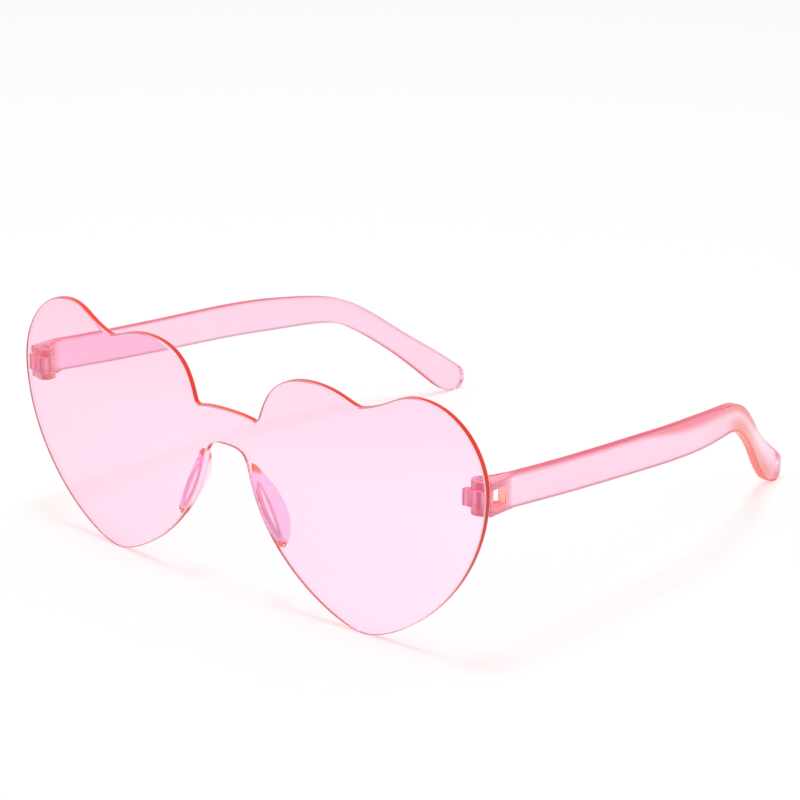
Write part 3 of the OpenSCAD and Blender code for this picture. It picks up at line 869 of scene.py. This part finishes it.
def shield_knots():
    """Half the outline's knots, from the bridge's top round the heart to the arch's top."""
    w, h = HALF_W, SHIELD_H
    corner = np.array([BRIDGE_HALF, BRIDGE_TOP - BRIDGE_DROP])
    cut, hold = CORNER_CUT, CORNER_CUT * CORNER_HOLD_SHARE
    return [
        [(0, BRIDGE_TOP), 0, 0, 0, BRIDGE_HALF * 0.41],
        [corner - cut * heading(-14), -14, BRIDGE_HALF * 0.2, -14, hold],
        [corner + cut * heading(70), 70, hold, 70, h * 0.072],
        [(w * 0.353, h * 0.962), 0, w * 0.168, 0, w * 0.113],
        [(w * 0.548, h * 0.915), 14, w * 0.036, 14, w * 0.112],
        [(w * 0.753, h), 0, w * 0.081, 0, w * 0.149],
        [(w, h * 0.6825), -90, h * 0.153, -90, h * 0.393],
        [(w * 0.541, 0), 180, w * 0.149, 180, w * 0.088],
        [(ARCH_HALF, ARCH_FOOT), 104, h * 0.355, 104, (ARCH_TOP - ARCH_FOOT) * 0.84],
        [(0, ARCH_TOP), 180, ARCH_HALF * 0.72, 180, 0],
    ]


def shield_columns(count):
    """Upper and lower outline points at shared X, with outward normals, from left to right.

    The columns are evenly spread along the sum of both outlines' lengths."""
    knots = shield_knots()
    top, top_run = curve(knots[:7], LEG_STEPS)
    low, low_run = curve(knots[6:], LEG_STEPS)
    low, low_run = low[::-1], -low_run[::-1]
    def travelled(p):
        return np.concatenate([[0], np.cumsum(np.linalg.norm(np.diff(p, axis=0), axis=1))])
    xs = np.unique(np.concatenate([top[:, 0], low[:, 0]]))
    way = np.interp(xs, top[:, 0], travelled(top)) + np.interp(xs, low[:, 0], travelled(low))
    x = np.interp(np.linspace(0, way[-1], count + 1), way, xs)
    def at(points, run):
        z = np.interp(x, points[:, 0], points[:, 1])
        slope = np.stack([np.interp(x, points[:, 0], run[:, i]) for i in (0, 1)], -1)
        slope /= np.linalg.norm(slope, axis=1, keepdims=True)
        return np.stack([x, z], -1), left_of(slope)
    upper, upper_out = at(top, top_run)
    lower, lower_out = at(low, low_run)
    lower_out = -lower_out
    lower[-1] = upper[-1] = knots[6][0]
    upper_out[-1] = lower_out[-1] = (1, 0)
    halves = (upper, lower, upper_out, lower_out)
    flip = np.array([-1, 1])
    return tuple(np.concatenate([(half * flip)[:0:-1], half]) for half in halves)


def sphere_y(radius, front_radius, x, z):
    """Y of a sphere's face: front + R - sqrt(r^2 - x^2 - (z - c)^2)."""
    centre_z = CURVE_HEIGHT_SHARE * SHIELD_H
    return FRONT_Y + front_radius - np.sqrt(radius**2 - x**2 - (z - centre_z) ** 2)


def back_y(x, z):
    """Y of the shield's back: the front's sphere, smaller by the sheet's thickness."""
    s = bpy.context.scene.sunglasses_shield
    front = s.curve_radius / MM
    return sphere_y(front - s.thickness / MM, front, x, z)


def build_shield(s):
    """The shield: a rounded sheet between two spheres, within the hearts' outline."""
    upper, lower, upper_out, lower_out = shield_columns(SHIELD_COLUMNS)
    front = s.curve_radius / MM
    def faces_at(p):
        return sphere_y(front, front, p[..., 0], p[..., 1]), back_y(p[..., 0], p[..., 1])
    plane, depth, quads, kinds, outward = rounded_sheet(
        upper, lower, upper_out, lower_out, faces_at, s.edge_round / MM, SHIELD_ROWS)
    points = np.stack([plane[:, 0], depth, plane[:, 1]], -1)
    materials = [sheet_material(s), cut_edge_material(s), bevel_material(s)]
    return make_piece("heart_shield", points, quads, kinds, materials, marks={"outward": outward})


# The nose pads

PAD_TOP = ARCH_TOP - 2.8
PAD_LEAN, PAD_RIM = 2.3, 1.0
# Thickness of the glue under the pads and the end blocks' feet
GLUE_T = 0.05
# The powers that shape the swell, the wedge's narrowing and the section's flat sides
SWELL_POWER, WEDGE_POWER, FLAT_POWER = 0.8, 1.3, 0.45
PAD_RINGS, PAD_SIDES = 61, 33


def build_pad(s, side, materials):
    """A leaf on the shield's back along the nose's edge.

    Along the height, swell = sin(180 u^0.8)^0.8. Across, the section is a wedge: its half width
    shrinks from the base to the rim with rise = sin v, and it leans outwards with the rise."""
    u = np.linspace(0, 1, PAD_RINGS)[:, None]
    v = np.linspace(0, math.pi, PAD_SIDES)[None, :]
    z = PAD_TOP - s.height / MM * (1 - u)
    swell = np.sin(math.pi * u**SWELL_POWER).clip(0, 1) ** SWELL_POWER
    low = curve(shield_knots()[7:9], LEG_STEPS)[0]
    nose_x = np.where(z > ARCH_FOOT, ARCH_HALF, np.interp(z, low[:, 1], low[:, 0]))
    base = s.width / MM * np.sqrt(swell)
    rim = np.minimum(base, PAD_RIM)
    rise = np.sin(v)
    middle = nose_x + base / 2 + rise * (rim / 2 + PAD_LEAN * swell - base / 2)
    half = base / 2 + rise**WEDGE_POWER * (rim / 2 - base / 2)
    x = middle + half * np.sign(np.cos(v)) * np.abs(np.cos(v)) ** FLAT_POWER
    z = z + 0 * x
    y = back_y(x, z) + GLUE_T + s.depth / MM * swell * rise
    points = np.stack([side * x, y, z], -1).reshape(-1, 3)
    at = np.arange(len(points)).reshape(x.shape)
    quads = cells(np.concatenate([at, at[:, :1]], axis=1))
    name = "left_nose_pad" if side > 0 else "right_nose_pad"
    glued = np.tile(np.arange(PAD_SIDES) == PAD_SIDES - 1, PAD_RINGS - 1)
    marks = {"across": (np.cos(v) + 0 * u).ravel() / 2 + 0.5, "along": (u + 0 * v).ravel()}
    return make_piece(name, points, quads, glued, materials, sharp=PAD_SHARP, marks=marks)


# The arms

EAR_H, SLOT_H, EAR_R, KNUCKLE_R = 1.8, 4.2, 2.3, 2.2
SLOT_DEPTH, SWING_GAP, FOOT_REACH, FOOT_T = 3.7, 0.45, 2.9, 1.5
FORK_H = 2 * EAR_H + SLOT_H
EAR_HOLE_R, KNUCKLE_HOLE_R = 0.75, 0.8
OUTER_X = HALF_W - SWING_GAP
# The centre line's end, from the hinge axis along the arm's named run
ARM_RUN = 137.2
TIP_Y_NOMINAL = AXIS_Y + ARM_RUN
TIP_INSET, TIP_ROUND, TIP_ROUND_LOW = 18.5, 3.6, 7.0
ARM_HEIGHTS = (7.8, 8.6, 5.9, 8.5)
ARM_HEIGHT_SHARES = (0.0, 0.53, 0.84, 0.988)
ARM_COLUMNS, ARM_ROWS, PLAN_STEPS, ROUND_POINTS, HOLE_POINTS = 150, 8, 200, 32, 24
# The sheet starts this far ahead of its centre line, inside the fork
LEAD_IN = 2.0
# The fork's outer face lies this far inside the sheet's, so that no two faces share a plane
FLUSH = 0.02
# How far a cutting box and a cutting cylinder reach past what they cut
PAST, BORE_PAST = 5.0, 1.0
# The cylinder's edge rounding, too small to show, and the plan's length past the nominal tip
BORE_EDGE, PLAN_PAST = 0.01, 2
# Degrees between which the ears' round front runs, and the cut of the fork's outer corner
EAR_TURNS, FORK_CUT = (150, 270), 0.5
# Within this of the sheet's front end a point lies on it
ON_FRONT_END = 0.01
# The least height that an arm's rise is measured over
LEAST_HEIGHT = 0.5


def arm_height(share):
    """The arm's height along its run: eased from one named height to the next."""
    value = np.full_like(share, ARM_HEIGHTS[0])
    for i in range(len(ARM_HEIGHTS) - 1):
        start, end = ARM_HEIGHT_SHARES[i : i + 2]
        rise = ARM_HEIGHTS[i + 1] - ARM_HEIGHTS[i]
        value = value + rise * ease((share - start) / (end - start))
    return value


def arm_columns(steps):
    """Upper and lower points of the arm in the side view, as (Y, Z), with outward normals.

    They stand half a height either side of the centre line. Over the last stretch each closes
    like a quarter ellipse, and the drop is stretched so that its lowest point is on the ground."""
    run = TIP_Y_NOMINAL - AXIS_Y
    start_y = AXIS_Y + SLOT_DEPTH + EAR_R
    h = HINGE_Z
    knots = [
        [(start_y, h), -6.7, 0, -6.7, run * 0.229],
        [(AXIS_Y + run * 0.575, h * 0.823), -6.1, run * 0.162, -6.1, run * 0.136],
        [(AXIS_Y + run * 0.802, h * 0.588), -36.6, run * 0.095, -36.6, run * 0.077],
        [(TIP_Y_NOMINAL, h * 0.027), -32.9, run * 0.034, -32.9, 0],
    ]
    line, slope = curve(knots, LEG_STEPS)
    end_at = TIP_Y_NOMINAL - TIP_ROUND_LOW
    marks = np.concatenate([
        np.linspace(start_y, end_at, steps, endpoint=False),
        end_at + TIP_ROUND_LOW * np.sin(np.linspace(0, math.pi / 2, steps // 4)),
    ])
    def on(values):
        return np.stack([np.interp(marks, line[:, 0], values[:, i]) for i in (0, 1)], -1)
    centre, out = on(line), left_of(on(slope))
    out /= np.linalg.norm(out, axis=1, keepdims=True)
    half = arm_height((marks - AXIS_Y) / run) / 2
    def closing(reach):
        past = np.clip(marks - TIP_Y_NOMINAL + reach, 0, None) / reach
        return np.sqrt(np.clip(1 - past**2, 0, 1))
    top = centre + (half * closing(TIP_ROUND))[:, None] * out
    bottom = centre - (half * closing(TIP_ROUND_LOW))[:, None] * out
    low = bottom[:, 1].min()
    for edge in (top, bottom):
        edge[:, 1] = h - (h - edge[:, 1]) * h / (h - low)
    top, bottom = (
        np.concatenate([[[start_y - LEAD_IN, edge[0, 1]]], edge]) for edge in (top, bottom))
    def normals(points, sign):
        slope = np.gradient(points, axis=0)
        slope[-1] = (0, -sign)
        slope /= np.linalg.norm(slope, axis=1, keepdims=True)
        return sign * left_of(slope)
    return top, bottom, normals(top, 1), normals(bottom, -1)


def arm_plan(thickness):
    """The arm's outer and inner faces in plan, as X for any Y. The inner one is the outer one's
    parallel at the arm's thickness."""
    run = TIP_Y_NOMINAL - AXIS_Y
    knots = [
        [(OUTER_X, AXIS_Y + run * 0.42), 90, 0, 90, run * 0.19],
        [(OUTER_X - TIP_INSET * 0.7, AXIS_Y + run * 0.863), 113.7, run * 0.107, 113.7, run * 0.11],
        [(OUTER_X - TIP_INSET, TIP_Y_NOMINAL + PLAN_PAST), 109, run * 0.063, 109, 0],
    ]
    outer, slope = curve(knots, PLAN_STEPS)
    inner = outer + thickness * left_of(slope)
    def faces_at(p):
        y = p[..., 0]
        return np.interp(y, outer[:, 1], outer[:, 0]), np.interp(y, inner[:, 1], inner[:, 0])
    return faces_at


def slot_box(side, front_y, materials):
    """The slot's cutting box, between two corners. Its end behind the slot has its own kind."""
    a = np.array([0, front_y - PAST, HINGE_Z - SLOT_H / 2])
    b = np.array([side * (OUTER_X + PAST), AXIS_Y + SLOT_DEPTH, HINGE_Z + SLOT_H / 2])
    at = np.array([[i, j, k] for i in (0, 1) for j in (0, 1) for k in (0, 1)])
    quads = np.array([
        [0, 1, 3, 2], [4, 6, 7, 5], [0, 4, 5, 1], [2, 3, 7, 6], [0, 2, 6, 4], [1, 5, 7, 3]])
    kinds = [FACE, FACE, FACE, SLOT_END, FACE, FACE]
    return make_piece("slot", a + at * (b - a), quads, kinds, materials)


def hinge_slab(loop, height, side, edge, round_steps=3):
    """A slab about the hinge's middle, on the left or mirrored to the right."""
    low, high = HINGE_Z - height / 2, HINGE_Z + height / 2
    points, quads, kinds = rounded_slab(loop, low, high, edge, round_steps)
    points[:, 0] *= side
    return points, quads, kinds


def bore_piece(radius, height, side, materials):
    """A cutting cylinder on the hinge's axis."""
    loop = arc((AXIS_X, AXIS_Y), radius, 0, 360 - 360 / HOLE_POINTS, HOLE_POINTS)
    points, quads, _ = hinge_slab(loop, height, side, BORE_EDGE, round_steps=1)
    return make_piece("bore", points, quads, np.full(len(quads), FACE), materials)


def build_fork(s, hinge, side, materials):
    """The arm's fork: a slab from the round ears to the sheet, with its slot and bore cut out."""
    front_y = back_y(HALF_W, HINGE_Z) + SWING_GAP
    slot_end = AXIS_Y + SLOT_DEPTH
    outer, inner = OUTER_X - FLUSH, OUTER_X - s.thickness / MM
    corners = rounded_loop(
        [(outer, front_y), (outer, slot_end + EAR_R), (inner, slot_end + EAR_R), (inner, slot_end)],
        [FORK_CUT, 0, 0, 0])
    loop = np.concatenate([arc((AXIS_X, AXIS_Y), EAR_R, *EAR_TURNS, ROUND_POINTS), corners])
    points, quads, kinds = hinge_slab(loop, FORK_H, side, hinge.edge_round / MM)
    fork = make_piece("fork", points, quads, np.where(kinds == BAND, FACE, BAND), materials)
    combine(fork, slot_box(side, front_y, materials), "DIFFERENCE")
    combine(fork, bore_piece(EAR_HOLE_R, FORK_H + 2 * BORE_PAST, side, materials), "DIFFERENCE")
    return fork


def build_arm(s, hinge, side, materials):
    """An arm: a rounded sheet joined to its fork. Each point is marked with its rise, the share
    (z - low) / (high - low) of the arm's height there."""
    top, bottom, top_out, bottom_out = arm_columns(ARM_COLUMNS)
    plane, depth, quads, kinds, _ = rounded_sheet(
        top, bottom, top_out, bottom_out, arm_plan(s.thickness / MM), s.edge_round / MM, ARM_ROWS)
    front_end = plane[quads, 0].max(axis=1) < plane[:, 0].min() + ON_FRONT_END
    kinds = np.where(front_end & (kinds == BAND), SLOT_END, kinds)
    points = np.stack([side * depth, plane[:, 0].clip(None, TIP_Y), plane[:, 1]], -1)
    name = "left_arm" if side > 0 else "right_arm"
    arm = make_piece(name, points, quads, kinds, materials)
    combine(arm, build_fork(s, hinge, side, materials), "UNION")
    place = np.empty(3 * len(arm.data.vertices), np.float32)
    arm.data.vertices.foreach_get("co", place)
    y, z = place.reshape(-1, 3)[:, 1] / MM, place.reshape(-1, 3)[:, 2] / MM
    low, high = (np.interp(y, edge[:, 0], edge[:, 1]) for edge in (bottom, top))
    add_mark(arm.data, "rise", np.clip((z - low) / np.maximum(high - low, LEAST_HEIGHT), 0, 1))
    return arm


# The end blocks

# The cuts of a block's corners: the foot's front and back, and where the neck meets the foot
FOOT_CUT, HEEL_CUT, NECK_CUT = 0.2, 0.3, 0.2


def build_block(s, side, material):
    """An end block: a foot along the shield's back, a neck and a round knuckle, as one slab.

    Its loop is a polygon with rounded corners, with a half circle in place of the neck's end."""
    left, right = AXIS_X - FOOT_REACH, OUTER_X
    neck_left, neck_right = AXIS_X - KNUCKLE_R, AXIS_X + KNUCKLE_R
    def front(x):
        return x, back_y(x, HINGE_Z) + GLUE_T
    def behind(x):
        return x, back_y(x, HINGE_Z) + FOOT_T
    corners = [
        front(left), front(AXIS_X), front(right), behind(right), behind(neck_right),
        (neck_right, AXIS_Y), (neck_left, AXIS_Y), behind(neck_left), behind(left)]
    cuts = [FOOT_CUT, 0, FOOT_CUT, HEEL_CUT, NECK_CUT, 0, 0, NECK_CUT, HEEL_CUT]
    outline = rounded_loop(corners, cuts)
    cut = np.argmin(np.linalg.norm(outline - np.array([neck_right, AXIS_Y]), axis=1))
    head = arc((AXIS_X, AXIS_Y), KNUCKLE_R, 0, 180, ROUND_POINTS)
    loop = np.concatenate([outline[:cut], head, outline[cut + 2 :]])
    points, quads, _ = hinge_slab(loop, BLOCK_HIGH[2] - BLOCK_LOW[2], side, s.edge_round / MM)
    name = "left_end_block" if side > 0 else "right_end_block"
    block = make_piece(name, points, quads, np.full(len(quads), FACE), [material])
    combine(block, bore_piece(KNUCKLE_HOLE_R, FORK_H, side, [material]), "DIFFERENCE")
    return block


# The stage, in metres, with the camera's sensor in millimetres

FLOOR_HALF, LAMP_SIZE, LAMP_HEIGHT = 4.0, 0.5, 1.5
SENSOR_WIDTH, CLIP_START, CLIP_END = 36.0, 0.01, 20.0
# Share of even white in what the camera, glass and gloss see of the floor
EVEN_WHITE_SHARE = 0.6
# Strength of the world's light on the object, and of the white that is seen
WORLD_LIGHT, WORLD_SEEN = 0.75, 1.0
FLOOR_CLOUD = 0.05
# Where the camera looks, in millimetres: the middle of the picture, on the object
CAMERA_TARGET = np.array([20.35, FRONT_Y + 37.1, 41.87])


def seen_rays(nodes):
    """1 for what the camera, gloss and glass see, and 0 for the light on the object."""
    ray = nodes.add("ShaderNodeLightPath")
    seen = nodes.math("MAXIMUM", ray.outputs["Is Camera Ray"], ray.outputs["Is Glossy Ray"])
    return nodes.math("MAXIMUM", seen, ray.outputs["Is Transmission Ray"])


def floor_material(s):
    """A white floor that the camera, glass and gloss see almost evenly lit, under a soft shadow."""
    floor = Nodes("white_floor")
    grain = floor.noise(floor.coords(), scale=30.0, detail=2.0)
    share = floor.clouds(grain, 0.0, FLOOR_CLOUD, "SMOOTHSTEP")
    paint = floor.mix(share, rgba(s.floor), rgba(s.floor_grain))
    matt = floor.add("ShaderNodeBsdfDiffuse", {"Color": paint})
    white = floor.add("ShaderNodeEmission", {"Color": (1, 1, 1, 1), "Strength": 1.0})
    share = floor.times(seen_rays(floor), EVEN_WHITE_SHARE)
    return floor.close(floor.blend(share, matt.outputs[0], white.outputs[0]))


def build_world():
    """A white world: full where it is seen, and a little less as light on the object."""
    world = bpy.data.worlds.new("studio")
    bpy.context.scene.world = world
    nodes = Nodes(world.name, world)
    level = nodes.spread(seen_rays(nodes), 0.0, 1.0, WORLD_LIGHT, WORLD_SEEN, "LINEAR")
    back = nodes.add("ShaderNodeBackground", {"Strength": level})
    nodes.add("ShaderNodeOutputWorld", {"Surface": back.outputs[0]})


def build_stage(s):
    """A floor, a soft lamp overhead and the camera."""
    corners = [(x * FLOOR_HALF, y * FLOOR_HALF, 0) for x, y in ((-1, -1), (1, -1), (1, 1), (-1, 1))]
    mesh = bpy.data.meshes.new("floor")
    mesh.from_pydata(corners, [], [(0, 1, 2, 3)])
    mesh.materials.append(floor_material(s))
    floor = add_object("floor", mesh)
    build_world()
    data = bpy.data.lights.new("overhead", "AREA")
    data.shape, data.size, data.energy = "DISK", LAMP_SIZE, s.lamp_power
    lamp = add_object("overhead", data)
    lamp.location = (0.0, FRONT_Y * MM, LAMP_HEIGHT)
    build_camera(s)


def build_camera(s):
    """The camera, turned round its target by azimuth and elevation, and its picture by roll."""
    a, e, r = s.azimuth, s.elevation, s.roll
    right = np.array([math.cos(a), math.sin(a), 0])
    back = np.array([math.sin(a) * math.cos(e), -math.cos(a) * math.cos(e), math.sin(e)])
    up = np.cross(back, right)
    right, up = right * math.cos(r) + up * math.sin(r), up * math.cos(r) - right * math.sin(r)
    data = bpy.data.cameras.new("camera")
    data.sensor_width, data.lens = SENSOR_WIDTH, s.focal
    data.clip_start, data.clip_end = CLIP_START, CLIP_END
    camera = add_object("camera", data)
    place = CAMERA_TARGET * MM + back * s.distance
    camera.matrix_world = Matrix([*np.stack([right, up, back, place], -1).tolist(), [0, 0, 0, 1]])
    bpy.context.scene.camera = camera


# Operators, one for each group of like pieces


class SUNGLASSES_OT_shield(bpy.types.Operator):
    """Make the heart shaped shield with its glowing edges"""

    bl_idname = "sunglasses.shield"
    bl_label = "Make Shield"

    def execute(self, context):
        shield = build_shield(context.scene.sunglasses_shield)
        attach(shield, "front")
        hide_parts("lens_shield")
        return {"FINISHED"}


class SUNGLASSES_OT_pads(bpy.types.Operator):
    """Make the two nose pads"""

    bl_idname = "sunglasses.pads"
    bl_label = "Make Nose Pads"

    def execute(self, context):
        s = context.scene.sunglasses_pads
        materials = [leaf_material(s), glued_base_material(s)]
        for side, node in ((1, "nose_pad_left"), (-1, "nose_pad_right")):
            pad = build_pad(s, side, materials)
            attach(pad, "front")
            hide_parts(node)
        return {"FINISHED"}


class SUNGLASSES_OT_blocks(bpy.types.Operator):
    """Make the two end blocks that carry the hinges"""

    bl_idname = "sunglasses.blocks"
    bl_label = "Make End Blocks"

    def execute(self, context):
        s = context.scene.sunglasses_hinge
        material = block_material(s)
        for side, node in ((1, "end_piece_left"), (-1, "end_piece_right")):
            block = build_block(s, side, material)
            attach(block, "front")
            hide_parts(node)
        return {"FINISHED"}


class SUNGLASSES_OT_arms(bpy.types.Operator):
    """Make the two folding arms"""

    bl_idname = "sunglasses.arms"
    bl_label = "Make Arms"

    def execute(self, context):
        s, hinge = context.scene.sunglasses_arm, context.scene.sunglasses_hinge
        materials = [
            arm_face_material(s), arm_edge_material(s), arm_round_material(s), slot_end_material(s)]
        sides = ((1, "temple_left", "left_temple"), (-1, "temple_right", "right_temple"))
        for side, node, body in sides:
            arm = build_arm(s, hinge, side, materials)
            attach(arm, body)
            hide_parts(node)
        return {"FINISHED"}


class SUNGLASSES_OT_screws(bpy.types.Operator):
    """Give the two hinge screws their steel"""

    bl_idname = "sunglasses.screws"
    bl_label = "Finish Screws"

    def execute(self, context):
        steel = steel_material(context.scene.sunglasses_hinge)
        for node in ("hinge_screw_left", "hinge_screw_right"):
            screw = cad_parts[node]
            for slot in screw.material_slots:
                slot.material = steel
        return {"FINISHED"}


class SUNGLASSES_OT_stage(bpy.types.Operator):
    """Make the white floor, the light and the camera"""

    bl_idname = "sunglasses.stage"
    bl_label = "Make Stage"

    def execute(self, context):
        build_stage(context.scene.sunglasses_stage)
        return {"FINISHED"}


class SUNGLASSES_PT_panel(bpy.types.Panel):
    """The sunglasses' sizes, colours and steps"""

    bl_label = "Heart Shaped Sunglasses"
    bl_idname = "SUNGLASSES_PT_panel"
    bl_space_type = "VIEW_3D"
    bl_region_type = "UI"
    bl_category = "Sunglasses"

    def draw(self, context):
        for group, operators in STEPS:
            box = self.layout.box()
            settings = getattr(context.scene, group)
            for key in settings.bl_rna.properties.keys():
                if key not in ("rna_type", "name"):
                    box.prop(settings, key)
            for name in operators:
                box.operator(name)


SETTINGS = (
    ("sunglasses_shield", ShieldSettings),
    ("sunglasses_pads", PadSettings),
    ("sunglasses_arm", ArmSettings),
    ("sunglasses_hinge", HingeSettings),
    ("sunglasses_stage", StageSettings),
)
STEPS = (
    ("sunglasses_shield", ("sunglasses.shield",)),
    ("sunglasses_pads", ("sunglasses.pads",)),
    ("sunglasses_hinge", ("sunglasses.blocks", "sunglasses.screws")),
    ("sunglasses_arm", ("sunglasses.arms",)),
    ("sunglasses_stage", ("sunglasses.stage",)),
)
CLASSES = (
    SUNGLASSES_OT_shield,
    SUNGLASSES_OT_pads,
    SUNGLASSES_OT_blocks,
    SUNGLASSES_OT_arms,
    SUNGLASSES_OT_screws,
    SUNGLASSES_OT_stage,
    SUNGLASSES_PT_panel,
)


def register():
    for name, group in SETTINGS:
        bpy.utils.register_class(group)
        setattr(bpy.types.Scene, name, PointerProperty(type=group))
    for made in CLASSES:
        bpy.utils.register_class(made)


def unregister():
    for made in reversed(CLASSES):
        bpy.utils.unregister_class(made)
    for name, group in reversed(SETTINGS):
        delattr(bpy.types.Scene, name)
        bpy.utils.unregister_class(group)


def main():
    """Runs every step in its order."""
    register()
    bpy.ops.sunglasses.shield()
    bpy.ops.sunglasses.pads()
    bpy.ops.sunglasses.blocks()
    bpy.ops.sunglasses.arms()
    bpy.ops.sunglasses.screws()
    bpy.ops.sunglasses.stage()
    bpy.context.scene.view_settings.view_transform = "Standard"


if __name__ == "__main__":
    main()
